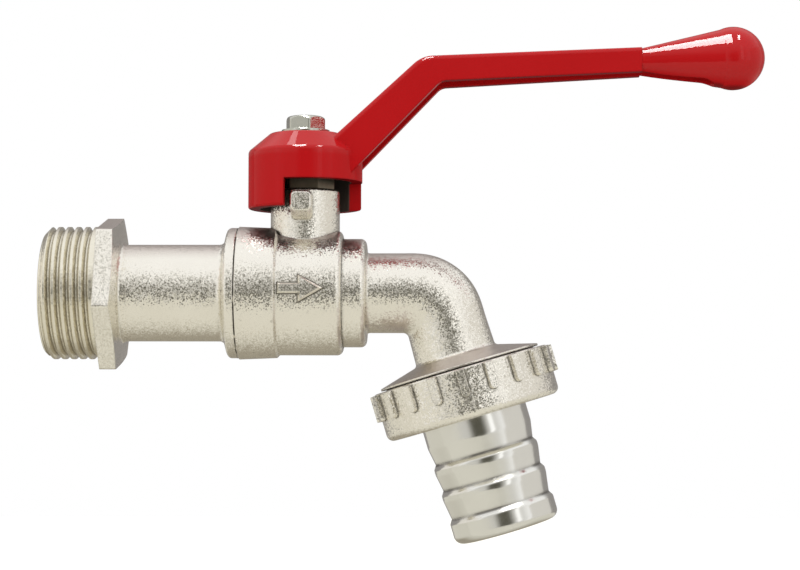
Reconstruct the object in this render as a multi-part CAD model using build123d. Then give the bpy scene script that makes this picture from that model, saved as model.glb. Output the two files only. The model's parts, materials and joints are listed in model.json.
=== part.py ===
from build123d import *
import math
import os

# Hose tap: ball valve with a lever, an elbow outlet, a union nut and a hose tail. Millimetres.
# X runs with the flow from the inlet, Z is up along the stem.
# The origin is on the inlet axis, on the face of the hexagon that the inlet thread screws up to.

# Fits
thread_clearance = 0.05  # radial, screwed joints
turning_clearance = 0.05  # radial, parts that turn on or in each other
slot_clearance = 0.05  # each side of the stem's tang
seat_clearance = 0.15  # ball to seat
stop_gap = 1.05  # lug to skirt at the ends of the lever's travel
joint_gap = 0.3  # outlet flare to union nut
seam_chamfer = 0.2  # edges of the connector and the body where they meet

# Inlet connector
inlet_thread_radius = 13.22
inlet_thread_length = 11.2
inlet_thread_chamfer = 1.2
inlet_hex_across_flats = 28.0
inlet_hex_thickness = 4.1
inlet_hex_cone = 0.9  # the corners stand back this far from the barrel's end
inlet_hex_rounding = 0.7
inlet_hex_turn = 12  # degrees a corner lies below the level through the front
barrel_radius = 9.65
barrel_length = 20.1
barrel_blend = 1.3
hex_blend = 0.7  # barrel to hexagon
shoulder_radius = 13.0
shoulder_length = 2.9
shoulder_cone = 0.9
shoulder_rounding = 0.9
inlet_bore_radius = 7.0
inlet_mouth_radius = 9.6
inlet_mouth_depth = 9.0
nose_length = 7.0

# Valve body
body_inlet_length = 13.15  # seam to stem axis
ring_radius = 13.25
ring_end_radius = 12.95
ring_length = 7.65
ring_step = 0.5
chamber_radius = 12.4
chamber_reach = 7.65  # past the stem axis
chamber_rounding = 1.2
collar_radius = 10.8
collar_reach = 12.35
collar_rounding = 1.2
tube_radius = 7.95
tube_blend = 0.6
elbow_reach = 26.35  # stem axis to the corner of the elbow
outlet_tilt = 16.6  # degrees the outlet leans from straight down
elbow_inner_radius = 1.2
elbow_outer_radius = 13.9
elbow_sections = 5
flow_radius = 5.6
nose_bore_radius = 11.0
nose_bore_end = 6.0  # before the stem axis
ball_chamber_radius = 10.0
ball_chamber_reach = 5.5
neck_radius = 6.9
neck_top = 20.5
neck_chamfer = 0.4
lug_width = 4.3
lug_turn = 2  # degrees the lug lies to the left of the front
lug_reach = 9.9
lug_top = 19.7
lug_bottom = 15.8
lug_root = 14.1
lug_corner_rounding = 1.1
lug_rounding = 0.5

# Outlet, measured from the corner of the elbow along the outlet axis
flare_start = 13.0
flare_start_radius = 8.15
flare_blend = 0.8
flare_rim = 15.2
flare_rim_thickness = 0.4
flare_radius = 16.2
spigot_thread_radius = 16.55
spigot_relief_radius = 15.2
spigot_relief_length = 1.0
spigot_chamfer = 0.7
spigot_end = 21.0
spigot_bore_radius = 10.5
spigot_bore_depth = 4.5

# Ball, seats and stem, heights from the inlet axis
ball_radius = 9.3
port_radius = 5.5
slot_depth = 3.1
seat_outer_radius = 8.7
seat_inner_radius = 5.8
seat_back = 8.8  # stem axis to the back of a seat
seat_front = 4.2
seat_pocket_clearance = 0.1
tang_thickness = 3.0
tang_width = 7.0
tang_lift = 0.1
collar_bottom = 9.9
stem_collar_radius = 4.9
stem_collar_thickness = 1.6
thrust_washer_thickness = 0.8
stem_radius = 3.5
stem_flats = 5.0
stem_shoulder = 24.0
stem_end_gap = 0.5  # stem end below the top of the lever's cap
packing_floor = 14.5
packing_radius = 5.0
packing_ring_thickness = 1.25
gland_hex_across_flats = 10.0
gland_hex_thickness = 2.5

# Lever, heights from the inlet axis and reaches from the stem axis
cap_radius = 11.4
cap_inner_radius = 8.9
cap_bottom = 16.7
cap_wall_top = 28.2
cap_top = 31.9
cap_flat_radius = 7.0
cap_edge_rounding = 1.0
cap_skirt_rounding = 0.5
cap_ceiling = 26.0
hub_radius = 6.0
window_top = 22.1
arm_root_reach = 6.0
arm_root_top = 30.8
arm_root_depth = 10.8
arm_root_width = 13.2
arm_bend_reach = 23.35
arm_bend_top = 46.8
arm_bend_radius = 6.0
arm_underbend_reach = 27.15
arm_underbend_depth = 5.0  # below the top of the bend
arm_underbend_radius = 2.5
arm_neck_reach = 66.95
arm_neck_top = 48.75
arm_neck_depth = 4.95
arm_neck_width = 8.5
arm_edge_rounding = 0.9
arm_wall = 2.0
arm_facing = 0.5  # least lean of a face's normal to count as top or flank
knob_reach = 85.35
knob_height = 46.95
knob_radius = 6.33
knob_cone_angle = 12.0
knob_neck_rounding = 2.0
knob_crease = 0.08  # small step where the arm meets the knob
knob_inset = 0.15  # the swelling ends this far inside the ball
knob_hollow_reach = 81.55
knob_hollow_width = 7.0
knob_hollow_rounding = 2.4

# Lever fastening
handle_washer_radius = 4.8
handle_washer_thickness = 0.7
bolt_hex_across_flats = 7.2
bolt_head_height = 2.8
bolt_head_rounding = 1.3
bolt_corner_rounding = 0.5
bolt_head_turn = 14  # degrees a corner lies to the right of the front
bolt_radius = 2.0
bolt_length = 8.5
bolt_hole_depth = 9.5  # in the stem

# Union nut, gasket and hose tail
nut_radius = 17.7
nut_top_rounding = 0.3
nut_bottom_rounding = 1.4
nut_lip_thickness = 1.5
nut_lip_clearance = 0.4
rib_count = 20
rib_turn = 1  # degrees a rib lies beside the front
rib_height = 1.0
rib_width = 2.1
rib_draft = 8  # degrees
rib_length = 5.7
rib_end_flat = 0.15  # width of the flat at a rib's round lower end
gasket_thickness = 2.0
gasket_radius = 15.5
gasket_hole_radius = 9.0
tail_flange_radius = 15.8
tail_flange_thickness = 1.2
tail_neck_radius = 10.6
tail_neck_end = 29.3
tail_valley_radius = 10.0
tail_crest_radius = 10.6
tail_crest_starts = (33.6, 38.9, 44.7)
tail_crest_length = 1.0
tail_rise = 0.9
tail_crest_rounding = 0.8
tail_taper_rounding = 3.0
tail_end = 49.0
tail_end_rounding = 1.7
tail_bore_radius = 8.7

# Places worked out from the sizes above
seam_reach = inlet_hex_thickness + barrel_length + shoulder_length
stem_reach = seam_reach + body_inlet_length
elbow_turn = 90 - outlet_tilt
elbow_pivot_depth = tube_radius + elbow_inner_radius
elbow_leg = elbow_pivot_depth * math.tan(math.radians(elbow_turn / 2))
outlet_lean = math.radians(outlet_tilt)
outlet_direction = (math.sin(outlet_lean), 0, -math.cos(outlet_lean))
collar_top = collar_bottom + stem_collar_thickness
collar_ceiling = collar_top + thrust_washer_thickness
packing_top = packing_floor + 2 * packing_ring_thickness
seat_pocket_radius = seat_outer_radius + seat_pocket_clearance
stem_end = cap_top - stem_end_gap
washer_top = cap_top + handle_washer_thickness
window_edge = lug_width / 2 + stop_gap
arm_slope = math.atan2(arm_bend_top - arm_root_top, arm_bend_reach - arm_root_reach)
slot_floor = ball_radius - slot_depth
nut_top = flare_rim + flare_rim_thickness + joint_gap
flange_top = spigot_end + gasket_thickness
flange_bottom = flange_top + tail_flange_thickness
nut_bottom = flange_bottom + nut_lip_thickness
nut_bore_radius = spigot_thread_radius + thread_clearance

flow_frame = Plane(origin=(stem_reach, 0, 0), x_dir=(0, -1, 0), z_dir=(1, 0, 0))
stem_frame = Plane(origin=(stem_reach, 0, 0), x_dir=(1, 0, 0), z_dir=(0, 0, 1))
outlet_frame = Plane(origin=(stem_reach + elbow_reach, 0, 0), x_dir=(0, -1, 0), z_dir=outlet_direction)


# A flat outline from (x, y) or (x, y, corner rounding) points
def outline(*points):
    face = make_face(Polyline(*[point[:2] for point in points], close=True))
    for x, y, *rounding in points:
        if rounding:
            corner = face.vertices().sort_by_distance((x, y, 0))[0]
            face = fillet(corner, rounding[0])
    return face


# A turned solid about Z from (radius, height) points
def turned(*points):
    return revolve(Plane.XZ * outline(*points), Axis.Z)


def disc(radius, bottom, top):
    return turned((0, bottom), (radius, bottom), (radius, top), (0, top))


def ring(inner, outer, bottom, top):
    return turned((inner, bottom), (outer, bottom), (outer, top), (inner, top))


def hexagon(across_flats, bottom, top, turn=0, rounding=0):
    face = Rot(0, 0, turn) * RegularPolygon(across_flats / 2, 6, major_radius=False)
    if rounding:
        face = fillet(face.vertices(), rounding)
    return Pos(0, 0, bottom) * extrude(face, top - bottom)


# A round bar with two flats, as the top of the stem and the hole of the lever
def flatted(radius, across_flats, bottom, top):
    bar = disc(radius, bottom, top)
    height = top - bottom
    return bar & Pos(0, 0, bottom + height / 2) * Box(across_flats, 2 * radius, height)


def inlet_connector():
    barrel_start = inlet_hex_thickness
    cone_start = barrel_start + barrel_length
    seat_pocket_floor = stem_reach - seat_back
    corner_radius = inlet_hex_across_flats / math.sqrt(3)
    outside = turned(
        (0, -inlet_thread_length),
        (inlet_thread_radius - inlet_thread_chamfer, -inlet_thread_length),
        (inlet_thread_radius, -inlet_thread_length + inlet_thread_chamfer),
        (inlet_thread_radius, 0),
        (corner_radius, 0),
        (corner_radius, barrel_start - inlet_hex_cone),
        (barrel_radius, barrel_start, hex_blend),
        (barrel_radius, cone_start, barrel_blend),
        (shoulder_radius, cone_start + shoulder_cone, shoulder_rounding),
        (shoulder_radius, seam_reach - seam_chamfer),
        (shoulder_radius - seam_chamfer, seam_reach),
        (nose_bore_radius - thread_clearance, seam_reach),
        (nose_bore_radius - thread_clearance, seam_reach + nose_length),
        (0, seam_reach + nose_length),
    )
    nut = hexagon(inlet_hex_across_flats, 0, barrel_start, inlet_hex_turn, inlet_hex_rounding)
    flats = disc(inlet_hex_across_flats, 0, barrel_start) - nut
    mouth_end = inlet_mouth_depth - inlet_thread_length
    waterway = turned(
        (0, -inlet_thread_length),
        (inlet_mouth_radius, -inlet_thread_length),
        (inlet_mouth_radius, mouth_end),
        (inlet_bore_radius, mouth_end + inlet_mouth_radius - inlet_bore_radius),
        (inlet_bore_radius, seat_pocket_floor),
        (seat_pocket_radius, seat_pocket_floor),
        (seat_pocket_radius, seam_reach + nose_length),
        (0, seam_reach + nose_length),
    )
    inlet_frame = Plane(origin=(0, 0, 0), x_dir=(0, -1, 0), z_dir=(1, 0, 0))
    return inlet_frame * (outside - flats - waterway)


def body_barrel():
    return flow_frame * turned(
        (0, -body_inlet_length),
        (ring_radius - seam_chamfer, -body_inlet_length),
        (ring_radius, seam_chamfer - body_inlet_length),
        (ring_end_radius, ring_length - body_inlet_length),
        (chamber_radius, ring_length + ring_step - body_inlet_length),
        (chamber_radius, chamber_reach, chamber_rounding),
        (collar_radius, chamber_reach),
        (collar_radius, collar_reach, collar_rounding),
        (tube_radius, collar_reach, tube_blend),
        (tube_radius, elbow_reach - elbow_leg),
        (0, elbow_reach - elbow_leg),
    )


# One section of the elbow, in a plane that pivots about the inner bend
def elbow_section(turn):
    half_turn = math.radians(elbow_turn / 2)
    span = 2 * tube_radius + elbow_inner_radius
    offset = (span - elbow_outer_radius) / math.cos(half_turn)
    swing = math.radians(turn) - half_turn
    reach = offset * math.cos(swing)
    reach += math.sqrt(elbow_outer_radius**2 - (offset * math.sin(swing)) ** 2)
    middle = (elbow_inner_radius + reach) / 2
    across = Vector(math.sin(math.radians(turn)), 0, math.cos(math.radians(turn)))
    along = Vector(across.Z, 0, -across.X)
    pivot = Vector(stem_reach + elbow_reach - elbow_leg, 0, -elbow_pivot_depth)
    plane = Plane(origin=pivot + across * middle, x_dir=across, z_dir=along)
    return plane * Ellipse(middle - elbow_inner_radius, tube_radius)


def elbow():
    span = 2 * tube_radius + elbow_inner_radius
    half_turn = math.radians(elbow_turn / 2)
    first = math.degrees(math.atan((span - elbow_outer_radius) * math.tan(half_turn) / span))
    step = (elbow_turn - 2 * first) / (elbow_sections - 1)
    sections = [elbow_section(first + step * index) for index in range(elbow_sections)]
    inlet = Plane(flow_frame.origin + (elbow_reach - elbow_leg, 0, 0), x_dir=(0, 0, 1), z_dir=(1, 0, 0))
    outlet_side = Vector(math.cos(outlet_lean), 0, math.sin(outlet_lean))
    outlet = Plane(
        outlet_frame.origin + Vector(*outlet_direction) * elbow_leg, x_dir=outlet_side, z_dir=outlet_direction
    )
    return loft([inlet * Circle(tube_radius), *sections, outlet * Circle(tube_radius)])


def outlet_spigot():
    rim_end = flare_rim + flare_rim_thickness
    thread_start = rim_end + spigot_relief_length
    return outlet_frame * turned(
        (0, elbow_leg),
        (tube_radius, elbow_leg),
        (flare_start_radius, flare_start, flare_blend),
        (flare_radius, flare_rim),
        (flare_radius, rim_end),
        (spigot_relief_radius, rim_end),
        (spigot_relief_radius, thread_start),
        (spigot_thread_radius, thread_start),
        (spigot_thread_radius, spigot_end - spigot_chamfer),
        (spigot_thread_radius - spigot_chamfer, spigot_end),
        (0, spigot_end),
    )


# The stop for the lever's skirt, on the front of the neck
def stop_lug():
    side = outline(
        (0, lug_root),
        (neck_radius, lug_root),
        (lug_reach, lug_bottom),
        (lug_reach, lug_top),
        (0, lug_top),
    )
    lug = extrude(Plane.YZ * side, lug_width / 2, both=True)
    corners = lug.edges().filter_by(Axis.X, reverse=True).filter_by(Axis.Z, reverse=True)
    lug = fillet(corners, lug_corner_rounding)
    front = lug.faces().sort_by(Axis.Y)[-1]
    return Rot(0, 0, 180 - lug_turn) * fillet(front.edges(), lug_rounding)


def stem_neck():
    neck = turned(
        (0, 0),
        (neck_radius, 0),
        (neck_radius, neck_top - neck_chamfer),
        (neck_radius - neck_chamfer, neck_top),
        (0, neck_top),
    )
    return stem_frame * (neck + stop_lug())


def water_passage():
    start = Vector(stem_reach + seat_back, 0, 0)
    corner = Vector(stem_reach + elbow_reach, 0, 0)
    finish = corner + Vector(*outlet_direction) * spigot_end
    path = FilletPolyline(start, corner, finish, radius=elbow_pivot_depth)
    passage = sweep(Plane(start, x_dir=(0, -1, 0), z_dir=(1, 0, 0)) * Circle(flow_radius), path)
    widening = spigot_bore_radius - flow_radius
    mouth = turned(
        (0, spigot_end - spigot_bore_depth - widening),
        (flow_radius, spigot_end - spigot_bore_depth - widening),
        (spigot_bore_radius, spigot_end - spigot_bore_depth),
        (spigot_bore_radius, spigot_end),
        (0, spigot_end),
    )
    return passage + outlet_frame * mouth


def valve_body():
    chambers = flow_frame * turned(
        (0, -body_inlet_length),
        (nose_bore_radius, -body_inlet_length),
        (nose_bore_radius, -nose_bore_end),
        (ball_chamber_radius, -nose_bore_end),
        (ball_chamber_radius, ball_chamber_reach),
        (seat_pocket_radius, ball_chamber_reach),
        (seat_pocket_radius, seat_back),
        (0, seat_back),
    )
    stem_bores = stem_frame * turned(
        (0, 0),
        (stem_collar_radius + turning_clearance, 0),
        (stem_collar_radius + turning_clearance, collar_ceiling),
        (stem_radius + turning_clearance, collar_ceiling),
        (stem_radius + turning_clearance, packing_floor),
        (packing_radius, packing_floor),
        (packing_radius, neck_top),
        (0, neck_top),
    )
    outside = body_barrel() + elbow() + outlet_spigot() + stem_neck()
    return outside - chambers - stem_bores - water_passage()


def ball():
    height = 2 * ball_radius
    port = Rot(0, 90, 0) * Cylinder(port_radius, height)
    slot = Pos(0, 0, slot_floor + height / 2) * Box(tang_thickness + 2 * slot_clearance, height, height)
    return stem_frame * (Sphere(ball_radius) - port - slot)


def seat():
    blank = ring(seat_inner_radius, seat_outer_radius, seat_front, seat_back)
    return blank - Sphere(ball_radius + seat_clearance)


def outlet_seat():
    return flow_frame * seat()


def inlet_seat():
    return flow_frame * (Rot(180, 0, 0) * seat())


def stem():
    tang_bottom = slot_floor + tang_lift
    tang_height = collar_bottom - tang_bottom
    tang = Pos(0, 0, tang_bottom + tang_height / 2) * Box(tang_thickness, tang_width, tang_height)
    tang &= disc(stem_collar_radius, tang_bottom, collar_bottom)
    shaft = disc(stem_collar_radius, collar_bottom, collar_top) + disc(stem_radius, collar_top, stem_shoulder)
    top = flatted(stem_radius, stem_flats, stem_shoulder, stem_end)
    tapping = disc(bolt_radius + thread_clearance, stem_end - bolt_hole_depth, stem_end)
    return stem_frame * (tang + shaft + top - tapping)


def stem_thrust_washer():
    return stem_frame * ring(stem_radius + turning_clearance, stem_collar_radius, collar_top, collar_ceiling)


def packing_ring(level):
    bottom = packing_floor + level * packing_ring_thickness
    top = bottom + packing_ring_thickness
    return stem_frame * ring(stem_radius + turning_clearance, packing_radius, bottom, top)


def gland_nut():
    screw = disc(packing_radius - thread_clearance, packing_top, neck_top)
    head = hexagon(gland_hex_across_flats, neck_top, neck_top + gland_hex_thickness)
    hole = disc(stem_radius + turning_clearance, packing_top, neck_top + gland_hex_thickness)
    return stem_frame * (screw + head - hole)


# The lever's arm seen from the side, solid, from the cap to where the knob starts
def arm_side():
    return outline(
        (arm_root_reach, arm_root_top),
        (arm_bend_reach, arm_bend_top, arm_bend_radius),
        (arm_neck_reach, arm_neck_top),
        (arm_neck_reach, arm_neck_top - arm_neck_depth),
        (arm_underbend_reach, arm_bend_top - arm_underbend_depth, arm_underbend_radius),
        (arm_root_reach, arm_root_top - arm_root_depth),
    )


def arm_plan():
    return outline(
        (arm_root_reach, -arm_root_width / 2),
        (arm_neck_reach, -arm_neck_width / 2),
        (arm_neck_reach, arm_neck_width / 2),
        (arm_root_reach, arm_root_width / 2),
    )


def arm_blank():
    side = extrude(Plane.XZ * arm_side(), arm_root_width, both=True)
    plan = extrude(arm_plan(), arm_neck_top + knob_radius)
    blank = side & plan
    upper = blank.faces().filter_by(lambda face: face.normal_at().Z > arm_facing)
    flanks = blank.faces().filter_by(lambda face: abs(face.normal_at().Y) > arm_facing)
    return fillet(upper.edges() & flanks.edges(), arm_edge_rounding)


# The swelling at the end of the arm, from the arm's section to a ball
def knob():
    cone = math.radians(knob_cone_angle)
    round_size = 2 * (knob_radius * math.cos(cone) - knob_inset)
    round_reach = knob_reach - knob_radius * math.sin(cone)
    neck_width = arm_neck_width - 2 * knob_crease
    neck_depth = arm_neck_depth - 2 * knob_crease
    neck_height = arm_neck_top - arm_neck_depth / 2
    neck = Plane((arm_neck_reach, 0, neck_height), x_dir=(0, 1, 0), z_dir=(1, 0, 0))
    full = Plane((round_reach, 0, knob_height), x_dir=(0, 1, 0), z_dir=(1, 0, 0))
    swelling = loft(
        [
            neck * RectangleRounded(neck_width, neck_depth, knob_neck_rounding),
            full * RectangleRounded(round_size, round_size, round_size / 2 - knob_crease),
        ]
    )
    return swelling + Pos(knob_reach, 0, knob_height) * Sphere(knob_radius)


# The open channel under the arm and into the knob
def arm_hollow():
    roof = outline(
        (arm_root_reach, arm_root_top - arm_wall / math.cos(arm_slope)),
        (arm_bend_reach + arm_wall * math.tan(arm_slope / 2), arm_bend_top - arm_wall),
        (arm_neck_reach, arm_neck_top - arm_wall),
        (knob_hollow_reach, knob_height),
        (knob_hollow_reach, 0),
        (arm_root_reach, 0),
    )
    half_root = arm_root_width / 2 - arm_wall
    half_neck = arm_neck_width / 2 - arm_wall
    half_end = knob_hollow_width / 2
    plan = outline(
        (arm_root_reach, -half_root),
        (arm_neck_reach, -half_neck),
        (knob_hollow_reach, -half_end, knob_hollow_rounding),
        (knob_hollow_reach, half_end, knob_hollow_rounding),
        (arm_neck_reach, half_neck),
        (arm_root_reach, half_root),
    )
    return extrude(Plane.XZ * roof, arm_root_width, both=True) & extrude(plan, arm_neck_top)


def cap_blank():
    return turned(
        (0, cap_bottom),
        (cap_radius, cap_bottom, cap_skirt_rounding),
        (cap_radius, cap_wall_top, cap_edge_rounding),
        (cap_flat_radius, cap_top, cap_edge_rounding),
        (0, cap_top),
    )


def cap_hollow():
    return turned(
        (0, cap_bottom),
        (cap_inner_radius, cap_bottom),
        (cap_inner_radius, cap_ceiling),
        (hub_radius, cap_ceiling),
        (hub_radius, stem_shoulder),
        (0, stem_shoulder),
    )


# The part of the skirt that is cut away so that the lever turns a quarter past the stop lug
def skirt_window():
    height = window_top - cap_bottom
    width = cap_radius + window_edge
    corner = Pos((cap_radius - window_edge) / 2, (window_edge - cap_radius) / 2, cap_bottom + height / 2)
    return Rot(0, 0, -lug_turn) * corner * Box(width, width, height)


def lever_handle():
    arm = arm_blank() + knob() - arm_hollow()
    hole = flatted(stem_radius + thread_clearance, stem_flats + 2 * thread_clearance, stem_shoulder, cap_top)
    return stem_frame * (cap_blank() + arm - cap_hollow() - skirt_window() - hole)


def handle_washer():
    return stem_frame * ring(bolt_radius + 2 * thread_clearance, handle_washer_radius, cap_top, washer_top)


def handle_bolt():
    head_top = washer_top + bolt_head_height
    corner_radius = bolt_hex_across_flats / math.sqrt(3)
    head = hexagon(bolt_hex_across_flats, washer_top, head_top, bolt_head_turn - 90, bolt_corner_rounding)
    head &= turned(
        (0, washer_top),
        (corner_radius, washer_top),
        (corner_radius, head_top, bolt_head_rounding),
        (0, head_top),
    )
    return stem_frame * (head + disc(bolt_radius, washer_top - bolt_length, washer_top))


# One grip rib, square at the nut's top edge and round at its lower end
def grip_rib():
    half = rib_width / 2
    rounding = half - rib_end_flat / 2
    face = outline(
        (0, -half),
        (rib_length, -half, rounding),
        (rib_length, half, rounding),
        (0, half),
    )
    base = Plane(origin=(nut_radius - rib_height, 0, nut_top), x_dir=(0, 0, 1), z_dir=(1, 0, 0))
    return extrude(base * face, 2 * rib_height, taper=rib_draft)


def union_nut():
    shell = turned(
        (nut_bore_radius, nut_top),
        (nut_radius, nut_top, nut_top_rounding),
        (nut_radius, nut_bottom, nut_bottom_rounding),
        (tail_neck_radius + nut_lip_clearance, nut_bottom),
        (tail_neck_radius + nut_lip_clearance, flange_bottom),
        (nut_bore_radius, flange_bottom),
    )
    rib = grip_rib()
    ribs = [Rot(0, 0, rib_turn + 360 * index / rib_count) * rib for index in range(rib_count)]
    return outlet_frame * (shell + ribs)


def hose_gasket():
    return outlet_frame * ring(gasket_hole_radius, gasket_radius, spigot_end, flange_top)


def hose_tail():
    outside = [(tail_bore_radius, flange_top), (tail_flange_radius, flange_top)]
    outside += [(tail_flange_radius, flange_bottom), (tail_neck_radius, flange_bottom)]
    outside += [(tail_neck_radius, tail_neck_end, tail_taper_rounding)]
    for start in tail_crest_starts:
        outside += [(tail_valley_radius, start - tail_rise), (tail_crest_radius, start, tail_crest_rounding)]
        if start < tail_crest_starts[-1]:
            outside += [(tail_crest_radius, start + tail_crest_length, tail_taper_rounding)]
    outside += [(tail_crest_radius, tail_end, tail_end_rounding), (tail_bore_radius, tail_end)]
    return outlet_frame * turned(*outside)


pieces = {
    "valve_body": valve_body(),
    "inlet_connector": inlet_connector(),
    "ball": ball(),
    "inlet_seat": inlet_seat(),
    "outlet_seat": outlet_seat(),
    "stem": stem(),
    "stem_thrust_washer": stem_thrust_washer(),
    "lower_packing_ring": packing_ring(0),
    "upper_packing_ring": packing_ring(1),
    "gland_nut": gland_nut(),
    "lever_handle": lever_handle(),
    "handle_washer": handle_washer(),
    "handle_bolt": handle_bolt(),
    "union_nut": union_nut(),
    "hose_gasket": hose_gasket(),
    "hose_tail": hose_tail(),
}

os.makedirs("parts", exist_ok=True)
for name, piece in pieces.items():
    export_step(piece, f"parts/{name}.step")
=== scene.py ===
import json
import math

import bpy
from mathutils import Matrix, Vector


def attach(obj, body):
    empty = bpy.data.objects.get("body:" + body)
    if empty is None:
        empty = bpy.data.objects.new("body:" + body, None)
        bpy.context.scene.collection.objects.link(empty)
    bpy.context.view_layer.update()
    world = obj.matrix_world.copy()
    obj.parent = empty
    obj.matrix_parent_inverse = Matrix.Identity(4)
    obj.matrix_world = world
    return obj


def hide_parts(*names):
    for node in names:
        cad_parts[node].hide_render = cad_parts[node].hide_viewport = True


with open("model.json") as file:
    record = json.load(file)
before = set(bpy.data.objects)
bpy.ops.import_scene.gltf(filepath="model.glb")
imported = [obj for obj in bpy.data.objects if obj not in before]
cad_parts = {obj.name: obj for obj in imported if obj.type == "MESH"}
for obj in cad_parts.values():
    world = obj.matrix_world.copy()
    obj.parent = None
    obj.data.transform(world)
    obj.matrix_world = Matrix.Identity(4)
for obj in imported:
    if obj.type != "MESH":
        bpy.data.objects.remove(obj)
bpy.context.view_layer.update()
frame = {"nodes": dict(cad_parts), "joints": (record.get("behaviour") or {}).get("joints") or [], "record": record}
print("frame loaded:", len(frame["nodes"]), "nodes")

mm = 0.001  # pieces and camera are given in millimetres, the studio in metres
joints = {joint["name"]: joint for joint in frame["joints"]}
mounts = {mount["name"]: mount for mount in frame["record"]["mounts"]}
stemX = joints["lever_turn"]["pos_m"][0]
outletPoint = Vector(joints["nut_spin"]["pos_m"])
outletAxis = Vector(joints["nut_spin"]["axis"]).normalized()


def standing(turn=0):  # stands a flat plane up to face the front, turned by degrees about Z
    return (math.radians(90), 0, math.radians(turn))


class Wire:  # a socket that can stand in sums
    def __init__(self, paint, socket):
        self.paint = paint
        self.socket = socket

    def __add__(self, other):
        return self.paint.maths("ADD", self, other)

    def __radd__(self, other):
        return self.paint.maths("ADD", other, self)

    def __sub__(self, other):
        return self.paint.maths("SUBTRACT", self, other)

    def __rsub__(self, other):
        return self.paint.maths("SUBTRACT", other, self)

    def __mul__(self, other):
        return self.paint.maths("MULTIPLY", self, other)

    def __rmul__(self, other):
        return self.paint.maths("MULTIPLY", other, self)


noiseMiddle = 0.5
creaseSamples = 8
edgeSamples = 6


class Paint:  # a node tree that is filled one node at a time
    def __init__(self, tree):
        self.tree = tree

    def feed(self, socket, value):
        if isinstance(value, Wire):
            self.tree.links.new(value.socket, socket)
        else:
            socket.default_value = value

    def node(self, kind, settings, sockets, output=0):
        made = self.tree.nodes.new(kind)
        for key, value in settings.items():
            setattr(made, key, value)
        for key, value in sockets.items():
            self.feed(made.inputs[key], value)
        return Wire(self, made.outputs[output])

    def maths(self, operation, *values):
        return self.node("ShaderNodeMath", {"operation": operation}, dict(enumerate(values)))

    def vectors(self, operation, *values, output=0):
        settings = {"operation": operation}
        return self.node("ShaderNodeVectorMath", settings, dict(enumerate(values)), output)

    def ramp(self, value, low, high):  # 0 below low, 1 above high, soft between
        limits = {"Value": value, "From Min": low, "From Max": high}
        return self.node("ShaderNodeMapRange", {"interpolation_type": "SMOOTHSTEP"}, limits)

    def fade(self, value, low, high):  # 1 below low, 0 above high, soft between
        return 1 - self.ramp(value, low, high)

    def mix(self, share, first, second):
        return self.node("ShaderNodeMix", {"data_type": "RGBA"}, {0: share, 6: first, 7: second}, 2)

    def place(self):
        return self.node("ShaderNodeTexCoord", {}, {}, "Object")

    def at(self, axis):  # the place along one axis
        return self.node("ShaderNodeSeparateXYZ", {}, {"Vector": self.place()}, axis)

    def facing(self, axis):  # how much the surface faces along one axis
        normal = self.node("ShaderNodeTexCoord", {}, {}, "Normal")
        return self.node("ShaderNodeSeparateXYZ", {}, {"Vector": normal}, axis)

    def noise(self, scale, detail, roughness=0.5):
        sockets = {"Vector": self.place(), "Scale": scale, "Detail": detail, "Roughness": roughness}
        return self.node("ShaderNodeTexNoise", {}, sockets, "Fac")

    def creases(self, reach):  # 1 deep in an inner corner of the piece, 0 on open faces
        settings = {"samples": creaseSamples, "only_local": True}
        return 1 - self.node("ShaderNodeAmbientOcclusion", settings, {"Distance": reach * mm}, "AO")

    def rounded(self, edge):  # the surface's direction with its edges eased
        return self.node("ShaderNodeBevel", {"samples": edgeSamples}, {"Radius": edge * mm}, "Normal")

    def facets(self, scale, lean, normal):  # each small cell of the surface leans its own way
        cells = self.node("ShaderNodeTexVoronoi", {}, {"Vector": self.place(), "Scale": scale}, "Color")
        offset = self.vectors("SUBTRACT", cells, (noiseMiddle, noiseMiddle, noiseMiddle))
        leaning = self.vectors("MULTIPLY_ADD", offset, (lean, lean, lean), normal)
        return self.vectors("NORMALIZE", leaning)

    def bump(self, height, distance, strength, normal):
        sockets = {"Strength": strength, "Distance": distance * mm, "Height": height, "Normal": normal}
        return self.node("ShaderNodeBump", {}, sockets, "Normal")


def newFinish(name):
    material = bpy.data.materials.new(name)
    material.use_nodes = True
    return material, Paint(material.node_tree), material.node_tree.nodes["Principled BSDF"].inputs


def colour(red, green, blue):
    return (red, green, blue, 1.0)


# blasted and plated brass: fine grain, small pits, a darker, warmer, rougher tint on faces that point up, painted
# shade in inner corners and a dark seam line
satinNickel = {
    "light": (0.93, 0.90, 0.83), "deep": (0.87, 0.835, 0.755), "cloudScale": 180, "cloudWear": 0.08,
    "grainScale": 4500, "grainLean": 0.32, "grainDepth": 0.02, "grainStrength": 0.6, "grainWear": 0.16,
    "pit": (0.50, 0.47, 0.40), "pitScale": 900, "pitRange": (0.72, 0.80),
    "pitShare": 0.5, "pitDepth": 0.5,
    "creaseShadeAndLines": (0.10, 0.09, 0.07), "creaseShadeAndLinesWear": 0.2,
    "creaseReach": 1.1, "creaseRange": (0.2, 0.5), "creaseBreak": 0.5,
    "upTint": (0.46, 0.37, 0.345), "upTintRange": (0.62, 0.96), "upTintShare": 0.66, "upTintWear": 0.12,
    "roughness": 0.22, "edge": 0.35,
}
# the nut wears it too, with crisp ribs that get more painted shade in their corners
ribNickel = dict(
    satinNickel, grainLean=0.35, creaseShadeAndLines=(0.10, 0.088, 0.065),
    creaseReach=0.9, creaseRange=(0.16, 0.44), edge=0.14,
)
# and the raised arrow, with edges as sharp as they are cast
arrowNickel = dict(satinNickel, edge=0.05, grainLean=0.26, upTintShare=0.2)
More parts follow.
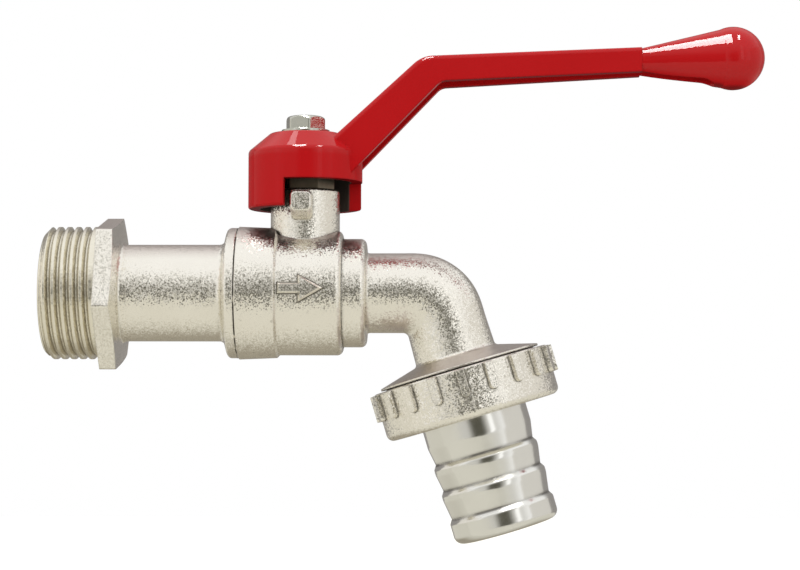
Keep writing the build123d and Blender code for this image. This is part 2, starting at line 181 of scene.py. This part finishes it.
# and the inlet thread, cut and a little duller
threadNickel = dict(
    satinNickel, light=(0.90, 0.86, 0.75), deep=(0.78, 0.735, 0.61), cloudScale=260,
    grainScale=2600, grainLean=0.12, pit=(0.45, 0.42, 0.36), creaseShadeAndLines=(0.23, 0.20, 0.145),
    creaseReach=1.0, creaseRange=(0.3, 0.82),
    upTint=(0.52, 0.44, 0.41), upTintRange=(0.7, 0.97), upTintShare=0.3, upTintWear=0.1,
    roughness=0.23, edge=0.2,
)
seamX = min(corner[0] for corner in frame["nodes"]["valve_body"].bound_box)
seamLine = {"core": 0.07, "edge": 0.2, "breakScale": 420, "breakRange": (0.36, 0.46)}
arrowFoot = {"core": 12.5, "edge": 12.85}  # distances from the body's axis, in painted shade up to the first


def seamMask(paint):  # a broken line where the connector meets the body
    away = paint.maths("ABSOLUTE", paint.at("X") - seamX)
    line = paint.fade(away, seamLine["core"] * mm, seamLine["edge"] * mm)
    return line * paint.ramp(paint.noise(seamLine["breakScale"], detail=2.0), *seamLine["breakRange"])


def footMask(paint):  # a line of painted shade where the arrow's flanks meet the body
    across = paint.at("Y")
    height = paint.at("Z")
    fromAxis = paint.maths("SQRT", across * across + height * height)
    return paint.fade(fromAxis, arrowFoot["core"] * mm, arrowFoot["edge"] * mm)


def nickelFinish(name, values, lineMask=seamMask):
    material, paint, shader = newFinish(name)
    grain = paint.noise(values["grainScale"], detail=2.0, roughness=0.6)
    clouds = paint.noise(values["cloudScale"], detail=3.0)
    pits = paint.ramp(paint.noise(values["pitScale"], detail=1.0), *values["pitRange"])
    # painted shade in inner corners, from how enclosed the surface is, joined with the line from lineMask: the
    # dark seam, or painted shade at the arrow's foot
    depth = paint.creases(values["creaseReach"]) + values["creaseBreak"] * (grain - noiseMiddle)
    creaseShadeAndLines = paint.maths("MAXIMUM", paint.ramp(depth, *values["creaseRange"]), lineMask(paint))
    # a darker, warmer tint and more roughness on faces that point up
    upward = paint.ramp(paint.facing("Z"), *values["upTintRange"])
    tone = paint.mix(clouds, colour(*values["light"]), colour(*values["deep"]))
    upTinted = paint.mix(values["upTintShare"] * upward, tone, colour(*values["upTint"]))
    pitted = paint.mix(pits * values["pitShare"], upTinted, colour(*values["pit"]))
    paint.feed(shader["Base Color"], paint.mix(creaseShadeAndLines, pitted, colour(*values["creaseShadeAndLines"])))
    paint.feed(shader["Metallic"], 1.0)
    wear = values["grainWear"] * (grain - noiseMiddle) + values["cloudWear"] * (clouds - noiseMiddle)
    creaseAndUpRoughness = values["creaseShadeAndLinesWear"] * creaseShadeAndLines + values["upTintWear"] * upward
    paint.feed(shader["Roughness"], values["roughness"] + wear + creaseAndUpRoughness)
    blasted = paint.facets(values["grainScale"], values["grainLean"], paint.rounded(values["edge"]))
    relief = grain - values["pitDepth"] * pits
    pebbled = paint.bump(relief, values["grainDepth"], values["grainStrength"], blasted)
    paint.feed(shader["Normal"], pebbled)
    return material


# the same plating on turned metal: bright, with a faint grain, painted shade in inner corners and along the
# valleys of the barbs
turnedNickel = {
    "light": (0.84, 0.835, 0.80), "deep": (0.77, 0.76, 0.72), "cloudScale": 130, "cloudWear": 0.1,
    "grainScale": 1600, "grainDepth": 0.01, "grainStrength": 0.3,
    "creaseShadeAndLines": (0.12, 0.11, 0.10), "creaseShadeAndLinesWear": 0.2,
    "creaseReach": 0.9, "creaseRange": (0.05, 0.2), "creaseBreak": 0.2,
    "valleys": (12.7, 18.0, 23.8),  # along the outlet, from the nut's joint
    "valleyCore": 0.1, "valleyEdge": 0.38, "valleyShare": 0.8, "valleyBreak": (0.38, 0.62),
    "roughness": 0.17, "edge": 0.3,
}


def turnedNickelFinish():
    values = turnedNickel
    material, paint, shader = newFinish("turnedNickel")
    grain = paint.noise(values["grainScale"], detail=2.0)
    clouds = paint.noise(values["cloudScale"], detail=2.0)
    depth = paint.creases(values["creaseReach"]) + values["creaseBreak"] * (clouds - noiseMiddle)
    creaseShadeAndLines = paint.ramp(depth, *values["creaseRange"])
    fromNut = paint.vectors("SUBTRACT", paint.place(), outletPoint)
    along = paint.vectors("DOT_PRODUCT", fromNut, outletAxis, output="Value")
    # painted shade along the valleys of the barbs, broken into patches
    patches = values["valleyShare"] * paint.ramp(clouds, *values["valleyBreak"])
    for valley in values["valleys"]:
        away = paint.maths("ABSOLUTE", along - valley * mm)
        line = paint.fade(away, values["valleyCore"] * mm, values["valleyEdge"] * mm)
        creaseShadeAndLines = paint.maths("MAXIMUM", creaseShadeAndLines, line * patches)
    tone = paint.mix(clouds, colour(*values["light"]), colour(*values["deep"]))
    paint.feed(shader["Base Color"], paint.mix(creaseShadeAndLines, tone, colour(*values["creaseShadeAndLines"])))
    paint.feed(shader["Metallic"], 1.0)
    wear = values["cloudWear"] * (clouds - noiseMiddle) + values["creaseShadeAndLinesWear"] * creaseShadeAndLines
    paint.feed(shader["Roughness"], values["roughness"] + wear)
    eased = paint.rounded(values["edge"])
    paint.feed(shader["Normal"], paint.bump(grain, values["grainDepth"], values["grainStrength"], eased))
    return material


# gloss paint on a die casting: orange peel, a clear skin, painted shade in hollows and on undersides with a
# thinner skin there, and bare metal in painted shade inside the cap
redPaint = {
    "face": (0.53, 0.010, 0.013), "thick": (0.48, 0.008, 0.010), "cloudScale": 90, "cloudWear": 0.06,
    "shade": (0.14, 0.004, 0.006), "shadeReach": 5.0, "shadeRange": (0.35, 0.8),
    "underShare": 0.85, "underRange": (0.86, 0.97),
    "insideShade": (0.075, 0.062, 0.056), "insideWear": 0.3, "insideFade": 0.3,
    "capInside": 9.0, "capCeiling": 26.1,
    "coat": 0.8, "coatLoss": 0.75, "coatRoughness": 0.03, "coatIndex": 1.38,
    "thinUnder": 0.85, "thinRange": (0.6, 0.9),
    "thinWall": 0.6, "capReach": 13.0, "capWallTop": 26.6, "thinFade": 1.0,
    "peelScale": 260, "peelDepth": 0.03, "peelStrength": 0.2,
    "roughness": 0.4, "edge": 0.55,
}


def redPaintFinish():
    values = redPaint
    material, paint, shader = newFinish("redPaint")
    peel = paint.noise(values["peelScale"], detail=1.0)
    clouds = paint.noise(values["cloudScale"], detail=2.0)
    along = paint.at("X") - stemX
    across = paint.at("Y")
    height = paint.at("Z")
    down = paint.facing("Z") * -1
    fromStem = paint.maths("SQRT", along * along + across * across)

    def below(value, limit, fade):  # 1 up to the limit, then fading out
        return paint.fade(value, values[limit] * mm, (values[limit] + values[fade]) * mm)

    # inside the cap: bare metal with hardly any clear skin, coloured as painted shade
    inside = below(fromStem, "capInside", "insideFade") * below(height, "capCeiling", "insideFade")
    tone = paint.mix(clouds, colour(*values["face"]), colour(*values["thick"]))
    # painted shade in hollows and on faces that point down
    hollow = paint.ramp(paint.creases(values["shadeReach"]), *values["shadeRange"])
    underside = values["underShare"] * paint.ramp(down, *values["underRange"])
    shaded = paint.mix(paint.maths("MAXIMUM", hollow, underside), tone, colour(*values["shade"]))
    paint.feed(shader["Base Color"], paint.mix(inside, shaded, colour(*values["insideShade"])))
    wear = values["cloudWear"] * (clouds - noiseMiddle) + values["insideWear"] * inside
    paint.feed(shader["Roughness"], values["roughness"] + wear)
    capWall = below(fromStem, "capReach", "thinFade") * below(height, "capWallTop", "thinFade")
    thinUnder = paint.ramp(down, *values["thinRange"]) * values["thinUnder"]
    thin = paint.maths("MAXIMUM", thinUnder, capWall * values["thinWall"])
    dull = paint.maths("MAXIMUM", inside, thin)
    paint.feed(shader["Specular IOR Level"], 0.0)
    paint.feed(shader["Coat Weight"], values["coat"] - values["coatLoss"] * dull)
    paint.feed(shader["Coat Roughness"], values["coatRoughness"])
    paint.feed(shader["Coat IOR"], values["coatIndex"])
    skin = paint.bump(peel, values["peelDepth"], values["peelStrength"], paint.rounded(values["edge"]))
    paint.feed(shader["Normal"], skin)
    return material


# plain finishes: two tones, with a grain that also wears the gloss
plainGrain = {"detail": 3.0, "wear": 0.12, "strength": 0.4, "edge": 0.3}
plainFinishes = {
    "zincSteel": {"light": (0.60, 0.60, 0.53), "deep": (0.50, 0.50, 0.45), "metallic": 1.0,
                  "roughness": 0.2, "grainScale": 900, "grainDepth": 0.02},
    "mirrorPlate": {"light": (0.82, 0.82, 0.83), "deep": (0.76, 0.76, 0.78), "metallic": 1.0,
                    "roughness": 0.07, "grainScale": 300, "grainDepth": 0.002},
    "turnedBrass": {"light": (0.78, 0.58, 0.27), "deep": (0.64, 0.45, 0.19), "metallic": 1.0,
                    "roughness": 0.28, "grainScale": 700, "grainDepth": 0.01},
    # the gland nut's brass, darkened as painted shade for its place inside the cap
    "shadedBrass": {"light": (0.28, 0.24, 0.18), "deep": (0.17, 0.15, 0.11), "metallic": 1.0,
                    "roughness": 0.35, "grainScale": 700, "grainDepth": 0.01},
    "whiteSeal": {"light": (0.86, 0.86, 0.83), "deep": (0.78, 0.78, 0.74), "metallic": 0.0,
                  "roughness": 0.5, "grainScale": 500, "grainDepth": 0.01},
    "blackRubber": {"light": (0.035, 0.035, 0.035), "deep": (0.018, 0.018, 0.018), "metallic": 0.0,
                    "roughness": 0.65, "grainScale": 1200, "grainDepth": 0.03},
}


def plainFinish(name):
    values = plainFinishes[name]
    material, paint, shader = newFinish(name)
    grain = paint.noise(values["grainScale"], plainGrain["detail"])
    paint.feed(shader["Base Color"], paint.mix(grain, colour(*values["light"]), colour(*values["deep"])))
    paint.feed(shader["Metallic"], values["metallic"])
    paint.feed(shader["Roughness"], values["roughness"] + plainGrain["wear"] * (grain - noiseMiddle))
    eased = paint.rounded(plainGrain["edge"])
    paint.feed(shader["Normal"], paint.bump(grain, values["grainDepth"], plainGrain["strength"], eased))
    return material


finishes = {"turnedNickel": turnedNickelFinish(), "redPaint": redPaintFinish()}
finishes["satinNickel"] = nickelFinish("satinNickel", satinNickel)
finishes["ribNickel"] = nickelFinish("ribNickel", ribNickel)
finishes["arrowNickel"] = nickelFinish("arrowNickel", arrowNickel, footMask)
finishes["threadNickel"] = nickelFinish("threadNickel", threadNickel)
finishes.update({name: plainFinish(name) for name in plainFinishes})
print("finishes:", len(finishes))


def selectOnly(piece):
    bpy.ops.object.select_all(action="DESELECT")
    piece.select_set(True)
    bpy.context.view_layer.objects.active = piece


def editAll(piece):
    selectOnly(piece)
    bpy.ops.object.mode_set(mode="EDIT")
    bpy.ops.mesh.select_all(action="SELECT")


def leaveEdit():
    bpy.ops.object.mode_set(mode="OBJECT")


def editPart(piece, kind, test):  # selects only the vertices or faces that pass the test
    editAll(piece)
    bpy.ops.mesh.select_mode(type=kind)
    bpy.ops.mesh.select_all(action="DESELECT")
    leaveEdit()
    items = piece.data.vertices if kind == "VERT" else piece.data.polygons
    for item in items:
        item.select = test(item)
    bpy.ops.object.mode_set(mode="EDIT")


def applyModifier(piece, kind, **settings):
    selectOnly(piece)
    modifier = piece.modifiers.new(kind.lower(), kind)
    for key, value in settings.items():
        setattr(modifier, key, value)
    bpy.ops.object.modifier_apply(modifier=modifier.name)


def applyPlace(piece):
    selectOnly(piece)
    bpy.ops.object.transform_apply(location=True, rotation=True, scale=True)


def combine(piece, tool, operation):
    applyModifier(piece, "BOOLEAN", operation=operation, object=tool, solver="EXACT")
    bpy.data.objects.remove(tool)


sharpAngle = 32  # edges that turn by more degrees stay sharp


def smooth(piece, angle=sharpAngle):
    selectOnly(piece)
    bpy.ops.object.shade_smooth_by_angle(angle=math.radians(angle))
    applyModifier(piece, "WEIGHTED_NORMAL", keep_sharp=True)


def wear(piece, finish):
    piece.data.materials.clear()
    piece.data.materials.append(finishes[finish])


mergeDistance = 0.0005


# a merged copy of a frame node, to be worked on
def nodeCopy(node, name):
    source = frame["nodes"][node]
    piece = bpy.data.objects.new(name, source.data.copy())
    bpy.context.scene.collection.objects.link(piece)
    editAll(piece)
    bpy.ops.mesh.customdata_custom_splitnormals_clear()
    bpy.ops.mesh.remove_doubles(threshold=mergeDistance * mm)
    leaveEdit()
    return piece


# a long helical groove about X: a flat trapezium is screwed along the axis and its ends are closed
def threadGroove(thread):
    height = thread["depth"] + thread["overshoot"]
    middle = (thread["crestRadius"] - thread["depth"] + height / 2) * mm
    start = thread["start"] * mm
    bpy.ops.object.select_all(action="DESELECT")
    bpy.ops.mesh.primitive_plane_add(size=mm, location=(0, 0, 0), rotation=standing())
    groove = bpy.context.active_object
    groove.scale = (thread["rootWidth"], height, 1)
    groove.location = (start, 0, middle)
    applyPlace(groove)
    editPart(groove, "VERT", lambda vertex: vertex.co.z > middle)
    widening = 2 * height * math.tan(math.radians(thread["flank"]))
    wide = (thread["rootWidth"] + widening) / thread["rootWidth"]
    bpy.ops.transform.resize(value=(wide, 1, 1), center_override=(start, 0, 0))
    bpy.ops.mesh.select_all(action="SELECT")
    bpy.ops.mesh.delete(type="ONLY_FACE")
    leaveEdit()
    turns = thread["turns"]
    steps = round(turns * thread["steps"])
    advance = thread["pitch"] * turns * mm
    applyModifier(groove, "SCREW", axis="X", angle=math.tau * turns, screw_offset=advance,
                  steps=steps, render_steps=steps, use_normal_calculate=True)
    editAll(groove)
    bpy.ops.mesh.fill_holes(sides=0)
    bpy.ops.mesh.normals_make_consistent(inside=False)
    leaveEdit()
    return groove


# inlet connector with its pipe thread, from the connector's free end towards the hexagon
inletThread = {
    "crestRadius": mounts["inlet_thread"]["dims"]["r_mm"], "pitch": 1.814, "depth": 0.95,
    "rootWidth": 0.3, "flank": 27.5, "overshoot": 0.08, "start": -13.08, "turns": 6.65, "steps": 96,
    "finishEnd": -0.1,  # the thread's duller finish ends here, by the hexagon
}


def inletConnector():
    piece = nodeCopy("inlet_connector", "inletConnector")
    combine(piece, threadGroove(inletThread), "DIFFERENCE")
    smooth(piece)
    wear(piece, "satinNickel")
    piece.data.materials.append(finishes["threadNickel"])
    for face in piece.data.polygons:
        face.material_index = 1 if face.center.x < inletThread["finishEnd"] * mm else 0
    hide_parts("inlet_connector")
    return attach(piece, "tap_body")


# valve body with the outlet thread under the union nut; lengths run along the outlet axis
outletThread = {
    "crestRadius": 16.55, "pitch": 2.309, "depth": 1.2,
    "rootWidth": 0.35, "flank": 27.5, "overshoot": 0.08, "start": -3.0, "turns": 3, "steps": 96,
}


def alongOutlet(piece):
    turn = outletAxis.to_track_quat("X", "Y").to_matrix().to_4x4()
    piece.matrix_world = Matrix.Translation(outletPoint) @ turn
    applyPlace(piece)


def valveBody():
    piece = nodeCopy("valve_body", "valveBody")
    groove = threadGroove(outletThread)
    alongOutlet(groove)
    combine(piece, groove, "DIFFERENCE")
    smooth(piece)
    wear(piece, "satinNickel")
    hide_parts("valve_body")
    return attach(piece, "tap_body")


# a plain raised arrow that shows the way of the flow: a flat outline lying along Z is inset, cut into
# strips, cast onto the body's round, lifted inside its sloping flanks and given a thickness
flowArrow = {
    "bodyRadius": 12.4, "height": 0.75, "sink": 0.15, "shell": 0.3, "flank": 0.75, "strip": 0.4,
    "shaft": (5.0, 2.8), "head": 3.9, "level": 0.4, "flatAngle": 1, "sharpAngle": 25,
}


def arrowPiece():
    values = flowArrow
    long, wide = (size * mm for size in values["shaft"])
    head = values["head"] * mm
    strip = values["strip"] * mm
    front = -values["bodyRadius"] * mm
    level = -values["level"] * mm
    bpy.ops.object.select_all(action="DESELECT")
    bpy.ops.mesh.primitive_cube_add(size=1, location=(level, front, -long / 2))
    arrow = bpy.context.active_object
    arrow.name = "flowArrow"
    arrow.scale = (wide, mm, long)
    applyPlace(arrow)
    bpy.ops.object.select_all(action="DESELECT")
    middle = (level, front, head / 4)  # so that the point overlaps the shaft
    bpy.ops.mesh.primitive_cylinder_add(vertices=3, radius=head, depth=mm, location=middle,
                                        rotation=standing())
    point = bpy.context.active_object
    applyPlace(point)
    combine(arrow, point, "UNION")
    editPart(arrow, "FACE", lambda face: face.normal.y > -0.5)  # all but the front
    bpy.ops.mesh.delete(type="FACE")
    bpy.ops.mesh.select_all(action="SELECT")
    bpy.ops.mesh.dissolve_limited(angle_limit=math.radians(values["flatAngle"]))
    bpy.ops.mesh.inset(thickness=values["flank"] * mm, depth=0)
    bpy.ops.object.vertex_group_add()
    bpy.ops.object.vertex_group_assign()
    strips = math.ceil(head / strip)
    for count in range(-strips, strips + 1):
        bpy.ops.mesh.select_all(action="SELECT")
        bpy.ops.mesh.bisect(plane_co=(level + count * strip, 0, 0), plane_no=(1, 0, 0))
    leaveEdit()
    roundOff = {"cast_type": "CYLINDER", "factor": 1.0, "use_radius_as_size": False}
    foot = (values["bodyRadius"] - values["sink"]) * mm
    crown = (values["bodyRadius"] + values["height"]) * mm
    applyModifier(arrow, "CAST", size=foot, **roundOff)
    applyModifier(arrow, "CAST", size=crown, vertex_group=arrow.vertex_groups[0].name, **roundOff)
    applyModifier(arrow, "SOLIDIFY", thickness=values["shell"] * mm, offset=-1)
    arrow.rotation_euler = (0, math.radians(90), 0)
    arrow.location = (stemX, 0, 0)
    applyPlace(arrow)
    smooth(arrow, values["sharpAngle"])
    wear(arrow, "arrowNickel")
    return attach(arrow, "tap_body")


inletConnector()
print("inlet connector threaded")
valveBody()
arrowPiece()
print("valve body threaded, flow arrow added")

nodeFinishes = {
    "union_nut": "ribNickel", "gland_nut": "shadedBrass", "hose_tail": "turnedNickel",
    "ball": "mirrorPlate", "stem": "turnedBrass", "inlet_seat": "whiteSeal", "outlet_seat": "whiteSeal",
    "stem_thrust_washer": "whiteSeal", "lower_packing_ring": "whiteSeal",
    "upper_packing_ring": "whiteSeal", "lever_handle": "redPaint", "handle_washer": "zincSteel",
    "handle_bolt": "zincSteel", "hose_gasket": "blackRubber",
}
for node, finish in nodeFinishes.items():
    wear(frame["nodes"][node], finish)
print("nodes painted:", len(nodeFinishes))

white = colour(1, 1, 1)
black = colour(0, 0, 0)


def stagePlane(name, size, location, rotation, material):
    bpy.ops.object.select_all(action="DESELECT")
    bpy.ops.mesh.primitive_plane_add(size=1, location=location, rotation=rotation)
    plane = bpy.context.active_object
    plane.name = name
    plane.scale = (size[0], size[1], 1)
    applyPlace(plane)
    plane.data.materials.append(material)
    return plane


def glossCard(name, size, location, rotation, material):  # a card that only reflections see
    card = stagePlane(name, size, location, rotation, material)
    card.visible_camera = False
    card.visible_diffuse = False
    card.visible_shadow = False
    card.visible_transmission = False


def cardFinish(name, strength=1.0):
    material, paint, shader = newFinish(name)
    paint.feed(shader["Base Color"], black)
    paint.feed(shader["Roughness"], 1.0)
    paint.feed(shader["Emission Strength"], strength)
    return material, paint, shader["Emission Color"]


# a cream table, lifted to white where the camera sees it
table = {
    "height": -0.25, "size": (8.0, 8.0), "colour": (0.68, 0.66, 0.58), "roughness": 0.8, "glow": 0.5,
    "fleck": (0.7, 0.67, 0.6), "fleckScale": 40, "fleckShare": 0.04,
}


def buildTable():
    material, paint, shader = newFinish("paleTable")
    flecks = table["fleckShare"] * paint.noise(table["fleckScale"], detail=2.0)
    tone = paint.mix(flecks, colour(*table["colour"]), colour(*table["fleck"]))
    paint.feed(shader["Base Color"], tone)
    paint.feed(shader["Roughness"], table["roughness"])
    cameraRay = paint.node("ShaderNodeLightPath", {}, {}, "Is Camera Ray")
    paint.feed(shader["Emission Color"], paint.mix(cameraRay, black, white))
    paint.feed(shader["Emission Strength"], table["glow"])
    stagePlane("table", table["size"], (stemX, 0, table["height"]), (0, 0, 0), material)


# a dim front with a dark gap where the camera stands
frontCard = {
    "distance": 0.87, "size": (3.0, 1.5), "level": 0.5,
    "dim": (0.66, 0.65, 0.62), "dimReach": (0.5, 1.4), "dimLevel": (0.3, 0.9),
    "gap": (0.07, 0.066, 0.046), "gapPlace": 0.06, "gapReach": (0.12, 0.38), "gapLevel": (0.08, 0.5),
}


def buildFront():
    values = frontCard
    material, paint, glow = cardFinish("dimFront")
    across = paint.at("X") - stemX
    height = paint.at("Z")
    fromStem = paint.maths("ABSOLUTE", across)
    fromGap = paint.maths("ABSOLUTE", across - values["gapPlace"])
    dim = paint.fade(fromStem, *values["dimReach"]) * paint.fade(height, *values["dimLevel"])
    gap = paint.fade(fromGap, *values["gapReach"]) * paint.fade(height, *values["gapLevel"])
    front = paint.mix(dim, white, colour(*values["dim"]))
    paint.feed(glow, paint.mix(gap, front, colour(*values["gap"])))
    place = (stemX, -values["distance"], values["level"])
    glossCard("dimFront", values["size"], place, standing(), material)


# a grey wall behind that fades to white overhead
wallCard = {
    "distance": 1.1, "size": (6.0, 1.85), "level": 0.675,
    "colour": (0.30, 0.285, 0.275), "fade": (0.6, 1.6),
}


def buildWall():
    values = wallCard
    material, paint, glow = cardFinish("greyWall")
    bright = paint.ramp(paint.at("Z"), *values["fade"])
    paint.feed(glow, paint.mix(bright, colour(*values["colour"]), white))
    place = (stemX, values["distance"], values["level"])
    glossCard("backWall", values["size"], place, standing(), material)


# a narrow bright window to the right of the camera
windowCard = {"distance": 0.98, "turn": 31, "size": (0.2, 0.95), "level": 0.36, "glow": 1.3}


def buildWindow():
    values = windowCard
    material, paint, glow = cardFinish("sideWindow", values["glow"])
    paint.feed(glow, white)
    turn = math.radians(values["turn"])
    beside = values["distance"] * Vector((math.sin(turn), -math.cos(turn), 0))
    place = beside + Vector((stemX, 0, values["level"]))
    glossCard("sideWindow", values["size"], place, standing(values["turn"]), material)


# painted shadow: a card over the table behind the tap, dimmer than the rest of it, that only reflections see
floorCard = {
    "width": 6.0, "reach": (-0.05, 1.1), "lift": 0.001, "colour": (0.34, 0.31, 0.245),
    "fade": (-0.05, 0.18), "spread": (0.15, 0.4),
}


def buildFloor():
    values = floorCard
    material, paint, glow = cardFinish("dimFloor")
    fromStem = paint.maths("ABSOLUTE", paint.at("X") - stemX)
    dim = paint.ramp(paint.at("Y"), *values["fade"]) * paint.fade(fromStem, *values["spread"])
    paint.feed(glow, paint.mix(dim, colour(*table["colour"]), colour(*values["colour"])))
    near, far = values["reach"]
    place = (stemX, (near + far) / 2, table["height"] + values["lift"])
    glossCard("dimFloor", (values["width"], far - near), place, (0, 0, 0), material)


# pale cards at both ends
sideCards = {
    "distance": 1.7, "turn": 90, "size": (2.2, 1.1), "level": 0.3,
    "right": (0.72, 0.70, 0.66), "left": (0.86, 0.83, 0.77),
}


def buildSides():
    values = sideCards
    for name, side in (("right", 1), ("left", -1)):
        material, paint, glow = cardFinish(name + "Side")
        paint.feed(glow, colour(*values[name]))
        place = (stemX + side * values["distance"], 0, values["level"])
        glossCard(name + "Side", values["size"], place, standing(values["turn"]), material)


# a soft lamp overhead, and small ones that only the named smooth pieces show
lamps = {
    "overhead": {"place": (0.04, -0.35, 1.1), "size": (1.1, 1.1), "power": 4.0},
    "spark": {"place": (-0.09, -0.33, 1.03), "size": (0.3, 0.75), "power": 23.0,
              "shownBy": ("lever_handle", "handle_washer", "handle_bolt")},
    "glint": {"place": (0.40, -0.25, 1.05), "size": (0.12, 0.4), "power": 5.5,
              "shownBy": ("lever_handle",)},
    "gleam": {"place": (0.06, -0.32, 1.05), "size": (0.62, 0.8), "power": 5.0,
              "shownBy": ("hose_tail",)},
    "pane": {"place": (-0.24, 0.33, 1.1), "size": (0.2, 0.16), "power": 0.34,
             "shownBy": ("lever_handle",)},
}


def softbox(name, place, size, power, shownBy=()):
    bpy.ops.object.select_all(action="DESELECT")
    bpy.ops.object.light_add(type="AREA", location=place)
    lamp = bpy.context.active_object
    lamp.name = name + "Softbox"
    lamp.rotation_mode = "QUATERNION"
    lamp.rotation_quaternion = Vector((0, -place[1], -place[2])).to_track_quat("-Z", "Y")
    lamp.data.shape = "RECTANGLE"
    lamp.data.size, lamp.data.size_y = size
    lamp.data.energy = power
    if not shownBy:
        lamp.visible_glossy = False
        return
    lamp.visible_diffuse = False
    lamp.light_linking.receiver_collection = bpy.data.collections.new(name + "Pieces")
    for node in shownBy:
        lamp.light_linking.receiver_collection.objects.link(frame["nodes"][node])


skyForDiffuse = 0.92  # a white sky, a little dimmer as a light than as a sight


def buildSky():
    sky = bpy.data.worlds.new("studioSky")
    sky.use_nodes = True
    paint = Paint(sky.node_tree)
    kinds = ("Is Camera Ray", "Is Glossy Ray", "Is Transmission Ray")
    camera, gloss, through = [paint.node("ShaderNodeLightPath", {}, {}, kind) for kind in kinds]
    seen = paint.maths("MAXIMUM", camera, paint.maths("MAXIMUM", gloss, through))
    background = sky.node_tree.nodes["Background"].inputs
    paint.feed(background["Color"], white)
    paint.feed(background["Strength"], skyForDiffuse + (1 - skyForDiffuse) * seen)
    bpy.context.scene.world = sky


photoCamera = {
    "place": (69.19, -437.65, -22.16), "target": (59.19, 0.0, 1.64), "roll": 0.09,
    "focalPixels": 2200, "imageWidth": 800, "sensor": 36.0, "nearest": 0.01, "farthest": 50.0,
}


def buildCamera():
    values = photoCamera
    bpy.ops.object.camera_add()
    camera = bpy.context.active_object
    camera.data.sensor_fit = "HORIZONTAL"
    camera.data.sensor_width = values["sensor"]
    camera.data.lens = values["focalPixels"] / values["imageWidth"] * values["sensor"]
    camera.data.clip_start = values["nearest"]
    camera.data.clip_end = values["farthest"]
    place = Vector(values["place"]) * mm
    aim = (Vector(values["target"]) * mm - place).to_track_quat("-Z", "Y")
    roll = Matrix.Rotation(math.radians(values["roll"]), 3, "Z").to_quaternion()
    camera.rotation_mode = "QUATERNION"
    camera.rotation_quaternion = aim @ roll
    camera.location = place
    bpy.context.scene.camera = camera


buildTable()
buildFront()
buildWall()
buildWindow()
buildFloor()
buildSides()
for lampName, lampValues in lamps.items():
    softbox(lampName, **lampValues)
buildSky()
buildCamera()
bpy.context.scene.view_settings.view_transform = "Standard"
print("studio, sky and camera ready")
